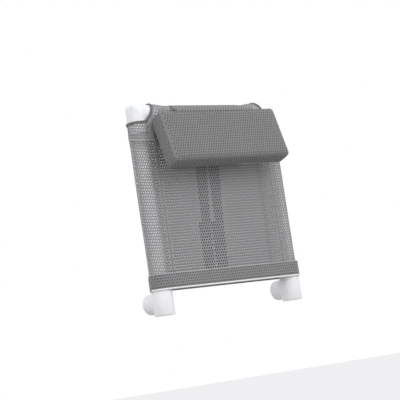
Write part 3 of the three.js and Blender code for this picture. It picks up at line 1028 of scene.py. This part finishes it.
def round_corners(half_y, half_z, radius):
    def clip(u, v):
        over_u, over_v = np.abs(u) - (half_y - radius), np.abs(v) - (half_z - radius)
        corner = (over_u > 0) & (over_v > 0)
        length = np.hypot(over_u, over_v)
        scale = np.where(corner & (length > radius), radius / np.maximum(length, 1e-9), 1.0)
        new_u = np.where(corner, np.sign(u) * ((half_y - radius) + over_u * scale), u)
        new_v = np.where(corner, np.sign(v) * ((half_z - radius) + over_v * scale), v)
        return new_u, new_v, np.zeros(len(u), bool)

    return clip


def pillow():
    dots = (3.4 * MM, 5.5 * MM)
    # The second material paints shade into the bottoms of the cover's blind holes, on the wrap and
    # on both ends.
    mesh = Lattice(wrap_surface, 2 * WRAP_HALF, AROUND, 1.0 * MM, start=(-WRAP_HALF, 0.0),
                   closed=True, edge=0.0, hole=dots, margin=0.011)
    wrap = mesh.build("pillow_wrap_mesh", [COVER, COVER_HOLE_SHADE])
    parts = [("pillow_wrap_mesh", wrap, ["pillow_cover_wrap"], (2 * WRAP_HALF, AROUND))]
    for word, side in (("left", -1), ("right", 1)):
        half_y, half_z = PILLOW_DEEP / 2 - END_ROUND, PILLOW_TALL / 2 - END_ROUND
        mesh = Lattice(end_surface(side), 2 * half_y, 2 * half_z, 1.0 * MM,
                       start=(-half_y, -half_z), closed=True, edge=0.0005, hole=dots,
                       clip=round_corners(half_y, half_z, PILLOW_ROUND - END_ROUND + 0.5 * MM))
        item = mesh.build(f"pillow_{word}_end_mesh", [COVER, COVER_HOLE_SHADE])
        if side < 0:
            item.data.flip_normals()
        cut = (2 * half_y, 2 * half_z)
        parts.append((f"pillow_{word}_end_mesh", item, [f"pillow_{word}_end"], cut))
        steps = np.linspace(0, AROUND, 121)[:-1]
        seam, normals = wrap_surface(np.full(120, side * WRAP_HALF), steps)
        welt = swept(f"pillow_{word}_seam", seam, oval(1.6 * MM, 0.9 * MM, 8, 0.1 * MM), [COVER],
                     True, normals)
        parts.append((f"pillow_{word}_seam", welt, [], None))
    back = PILLOW_DEEP / 2
    path = [(x, back - 1.2 * MM, ZIP_Z) for x in np.linspace(-ZIP_HALF, ZIP_HALF, 60)]
    tape = swept("pillow_zipper_tape", path, oval(11 * MM, 1.6 * MM, 14), [ZIPPER],
                 normals=[(0, 1, 0)] * len(path))
    parts.append(("pillow_zipper_tape", tape, ["pillow_zipper"], None))
    teeth_vertices, teeth_faces = [], []
    for n, x in enumerate(np.arange(-0.166, 0.150, 1.6 * MM)):
        base = len(teeth_vertices)
        shift = 0.5 * MM if n % 2 else -0.5 * MM
        for dx in (-0.5, 0.5):
            for dy, dz in ((0.2, -1.5), (1.0, -1.1), (1.0, 1.1), (0.2, 1.5)):
                teeth_vertices.append((x + dx * MM, back + dy * MM, ZIP_Z + dz * MM + shift))
        teeth_faces += bar_faces(base, 2)
    teeth = piece("pillow_zipper_teeth", teeth_vertices, teeth_faces, [METAL], smooth=False)
    parts.append(("pillow_zipper_teeth", teeth, [], None))
    pull = rounded_box("pillow_zipper_slider", 22 * MM, 1.3 * MM, 5.5 * MM, 0.5 * MM)
    pull.data.transform(Matrix.Translation((0.1485, back + 1.5 * MM, ZIP_Z)))
    pull.data.materials.append(METAL)
    slider = rounded_box("pillow_zipper_body", 9 * MM, 2.4 * MM, 7 * MM, 0.7 * MM)
    slider.data.transform(Matrix.Translation((0.153, back + 0.6 * MM, ZIP_Z)))
    slider.data.materials.append(METAL)
    parts.append(("pillow_zipper_slider", pull, ["pillow_zipper_pull"], None))
    parts.append(("pillow_zipper_body", slider, [], None))
    slots = {"zipper_tape": "zipper_tape", "zipper_teeth": "zipper_metal",
             "zipper_slider": "zipper_metal", "zipper_body": "zipper_metal"}
    for name, item, nodes, cut in parts:
        item.data.transform(PILLOW_MATRIX)
        slot = slots.get(name.replace("pillow_", ""), "pillow_mesh")
        finished(item, "pillow", slot, *nodes)
    foam_body.data.transform(PILLOW_MATRIX)
    finished(foam_body, "pillow", "foam", "pillow_foam_core")


pillow()


# Flap over the rail.
def flap_line():
    """Points along the flap's middle, from its inner edge over the rail to the pillow's edge."""
    radius = ON_RAIL + YARN + GAP
    local = Vector((0.0, -PILLOW_DEEP / 2 + PILLOW_ROUND, PILLOW_TALL / 2 - PILLOW_ROUND))
    edge = PILLOW_MATRIX @ local
    edge_radius = PILLOW_ROUND + 0.9 * MM
    apart = math.hypot(edge.y, edge.z - RAIL_Z)
    towards = math.atan2(edge.z - RAIL_Z, edge.y)
    towards += 2 * math.pi if towards < 0 else 0
    leaves = towards - math.acos((radius - edge_radius) / apart)
    below = FLAP_ENTRY_Z - RAIL_Z
    meets = math.atan2(below, FLAP_INNER_Y) + math.acos(radius / math.hypot(below, FLAP_INNER_Y))
    line = [(FLAP_INNER_Y, z) for z in np.linspace(FLAP_LOW.z, FLAP_ENTRY_Z, 14)]
    for a in np.linspace(meets, leaves, 40):
        line.append((radius * math.cos(a), RAIL_Z + radius * math.sin(a)))
    off = len(line)
    start = line[-1]
    end = (edge.y + edge_radius * math.cos(leaves), edge.z + edge_radius * math.sin(leaves))
    for t in np.linspace(0, 1, 8)[1:]:
        line.append((start[0] + (end[0] - start[0]) * t, start[1] + (end[1] - start[1]) * t))
    face = math.pi - PILLOW_TILT
    for t in np.linspace(0, 1, 8)[1:]:
        a = leaves + (face - leaves) * t
        sunk = edge_radius - 0.9 * MM * t**2
        line.append((edge.y + sunk * math.cos(a), edge.z + sunk * math.sin(a)))
    down = Vector((0.0, 0.0014, -0.012))
    down.rotate(Matrix.Rotation(PILLOW_TILT, 3, "X"))
    line.append((line[-1][0] + down.y, line[-1][1] + down.z))
    return line, off


def flap():
    line, off = flap_line()
    low_x, high_x = FLAP_LOW.x, FLAP_HIGH.x
    wide = high_x - low_x
    points = np.array(line)
    steps = np.concatenate([[0], np.cumsum(np.linalg.norm(np.diff(points, axis=0), axis=1))])
    tangents = np.gradient(points, axis=0)
    tangents /= np.linalg.norm(tangents, axis=1)[:, None]

    def surface(u, v):
        spread = smooth_step(v, steps[off - 4], steps[off + 6]) * (high_x - u) / (high_x - low_x)
        u = u - FLAP_SPREAD * spread
        y, z = np.interp(v, steps, points[:, 0]), np.interp(v, steps, points[:, 1])
        ty, tz = np.interp(v, steps, tangents[:, 0]), np.interp(v, steps, tangents[:, 1])
        length = np.hypot(ty, tz)
        place = np.stack([u, y, z], 1)
        normals = np.stack([np.zeros_like(u), tz / length, -ty / length], 1)
        return place, normals

    spans = [("flap_inner_mesh", 0.0, steps[13]), ("flap_rail_mesh", steps[13], steps[off - 1]),
             ("flap_front_mesh", steps[off - 1], steps[-1])]
    made = []
    for name, begin, end in spans:
        mesh = Lattice(surface, wide, end - begin, 0.9 * MM, start=(low_x, begin), edge=0.0004,
                       hole=(3.5 * MM, 4.6 * MM))
        item = mesh.build(name, [COVER])
        item.data.flip_normals()
        made.append(item)
    inner, rail, front = made
    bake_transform(inner)
    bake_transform(rail)
    start, end = points[off + 1], points[off + 6]
    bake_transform(front)
    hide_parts("pillow_flap")


flap()


# Straps inside the sling, with hook patches and loop strips.
def ribbon(name, top_x, end_x, y, top_z, end_z, wide, thick, material, narrow=1.0):
    """A flat strap that may get narrower towards its lower end, where it is pulled tight."""
    rows = 40
    widths = [1 + (narrow - 1) * float(smooth_step(n / (rows - 1), 0.05, 0.5)) for n in range(rows)]
    path, normals = [], []
    for n in range(rows):
        t = n / (rows - 1)
        path.append((top_x + (end_x - top_x) * t, y, top_z + (end_z - top_z) * t))
        normals.append((0, 1, 0))
    return swept(name, path, oval(wide, thick, 16, -thick / 2), [material], normals=normals,
                 widths=widths)


def straps():
    for word, (top_x, end_x) in STRAPS.items():
        low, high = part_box(f"{word}_back_strap")
        y = (low.y + high.y) / 2
        strap = ribbon(f"{word}_strap_webbing", top_x, end_x, y, high.z, low.z, STRAP_WIDE,
                       high.y - low.y, STRAP, 0.8)
        finished(strap, "straps", "strap_mesh", f"{word}_back_strap")
        for kind, body in (("hook_patch", "straps"), ("loop_strip", "frame")):
            low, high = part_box(f"{word}_{kind}")
            middle = (low + high) / 2
            wide = high.x - low.x
            patch = ribbon(f"{word}_{kind}_pile", middle.x, middle.x, middle.y, high.z, low.z, wide,
                           high.y - low.y, HOOKS)
            finished(patch, body, "hook_and_loop", f"{word}_{kind}")


straps()


# Floor, light and camera.
def stage():
    mesh = bpy.data.meshes.new("floor")
    reach, height = 30.0, -0.9
    corners = [(-1, -1), (1, -1), (1, 1), (-1, 1)]
    mesh.from_pydata([(reach * x, reach * y, height) for x, y in corners], [], [(0, 1, 2, 3)])
    floor = bpy.data.objects.new("floor", mesh)
    bpy.context.scene.collection.objects.link(floor)
    material, tree, shader = new_material("floor", 0.9)
    vector = coordinates(tree)
    color = ramp(tree, noise(tree, vector, 3.0), [(0.3, grey(0.90)), (0.7, grey(0.92))])
    tree.links.new(color, shader.inputs["Base Color"])
    mesh.materials.append(material)
    floor.visible_diffuse = False


def area_light(name, at, target, size, power):
    data = bpy.data.lights.new(name, "AREA")
    data.shape = "DISK"
    data.size = size
    data.energy = power
    light = bpy.data.objects.new(name, data)
    light.location = at
    light.rotation_mode = "QUATERNION"
    light.rotation_quaternion = (Vector(target) - Vector(at)).to_track_quat("-Z", "Y")
    bpy.context.scene.collection.objects.link(light)


def camera():
    right = Vector((0.80880802, -0.56956326, -0.14638059))
    up = Vector((0.04890205, -0.18291297, 0.98191213))
    ahead = Vector((0.58603598, 0.80133672, 0.12008867))
    data = bpy.data.cameras.new("camera")
    data.lens = 117.0
    data.sensor_width = 36.0
    item = bpy.data.objects.new("camera", data)
    bpy.context.scene.collection.objects.link(item)
    turn = Matrix((right, up, -ahead)).transposed().to_4x4()
    item.matrix_world = Matrix.Translation((-1.907456, -2.546460, -0.112640)) @ turn
    bpy.context.scene.camera = item


def studio():
    """White to the camera, and for the light a soft dome that is brighter above than below."""
    world = bpy.data.worlds.new("studio")
    world.use_nodes = True
    tree = world.node_tree
    seen = tree.nodes["Background"]
    seen.inputs["Color"].default_value = (1.0, 1.0, 1.0, 1.0)
    place = add(tree, "ShaderNodeTexCoord")
    split = add(tree, "ShaderNodeSeparateXYZ")
    tree.links.new(place.outputs["Generated"], split.inputs["Vector"])
    height = add(tree, "ShaderNodeMapRange")
    height.inputs["From Min"].default_value = -1.0
    tree.links.new(split.outputs["Z"], height.inputs["Value"])
    dome = ramp(tree, height.outputs["Result"], DOME)
    light = add(tree, "ShaderNodeBackground", Strength=DOME_STRENGTH)
    tree.links.new(dome, light.inputs["Color"])
    path = add(tree, "ShaderNodeLightPath")
    mix = add(tree, "ShaderNodeMixShader")
    tree.links.new(path.outputs["Is Camera Ray"], mix.inputs["Fac"])
    tree.links.new(light.outputs["Background"], mix.inputs[1])
    tree.links.new(seen.outputs["Background"], mix.inputs[2])
    tree.links.new(mix.outputs["Shader"], tree.nodes["World Output"].inputs["Surface"])
    bpy.context.scene.world = world


DOME_STRENGTH = 1.12
DOME = [(0.0, grey(0.16)), (0.22, grey(0.36)), (0.46, grey(0.84)), (0.6, grey(0.90)),
        (1.0, grey(0.80))]
stage()
middle = (0.0, 0.0, 0.30)
area_light("key", (0.5, -2.6, 1.8), middle, 1.8, 26.0)
area_light("fill", (-2.4, -1.8, 0.5), middle, 2.0, 8.0)
studio()
bpy.context.scene.view_settings.view_transform = "Standard"
camera()
